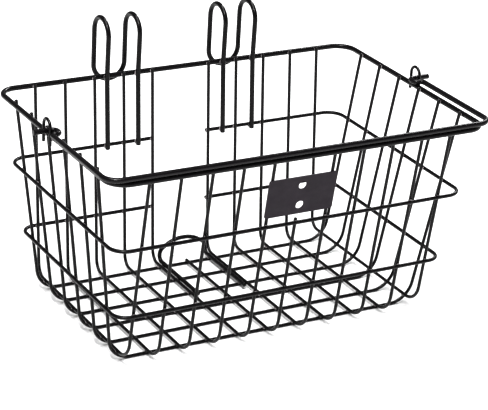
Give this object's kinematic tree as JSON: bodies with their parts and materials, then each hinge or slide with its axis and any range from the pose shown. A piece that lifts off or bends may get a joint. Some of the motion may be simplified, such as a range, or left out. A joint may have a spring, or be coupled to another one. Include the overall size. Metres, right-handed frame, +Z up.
{
  "type": "handlebar basket",
  "caption": "Lift-off wire basket that hangs from a bicycle handlebar by wire hooks, with a brace loop at the bottom rear and a swinging carrying handle.",
  "frame": {"origin": "on the surface that the basket stands on, at the middle of its whole outline", "axes": "+X to the right as seen from the front, -Y towards the front that carries the plate, +Y towards the handlebar and head tube, +Z up"},
  "size_m": [0.3972, 0.2686, 0.2437],
  "materials": {
    "rim_wire": "semi-gloss black powder coat",
    "grid_wire": "semi-gloss black powder coat",
    "hook_wire": "semi-gloss black powder coat",
    "handle_wire": "semi-gloss black powder coat",
    "plate_paint": "matte charcoal powder coat"
  },
  "bodies": {
    "root": {"rim": "rim_wire", "upper_ring": "grid_wire", "lower_ring": "grid_wire", "cross_wire_01": "grid_wire", "cross_wire_02": "grid_wire", "cross_wire_03": "grid_wire", "cross_wire_04": "grid_wire", "cross_wire_05": "grid_wire", "cross_wire_06": "grid_wire", "cross_wire_07": "grid_wire", "cross_wire_08": "grid_wire", "cross_wire_09": "grid_wire", "cross_wire_10": "grid_wire", "cross_wire_11": "grid_wire", "length_wire_1": "grid_wire", "length_wire_2": "grid_wire", "length_wire_3": "grid_wire", "length_wire_4": "grid_wire", "length_wire_5": "grid_wire", "length_wire_6": "grid_wire", "left_hanger": "hook_wire", "right_hanger": "hook_wire", "head_tube_brace": "hook_wire", "left_bail_eye": "grid_wire", "right_bail_eye": "grid_wire", "front_plate": "plate_paint"},
    "handle": {"bail_handle": "handle_wire"}
  },
  "joints": [
    {"name": "handle_swing", "type": "hinge", "parent": "root", "child": "handle", "pos_m": [0, -0.00895, 0.1963], "axis": [-1, 0, 0], "range_deg": [0, 158]}
  ]
}
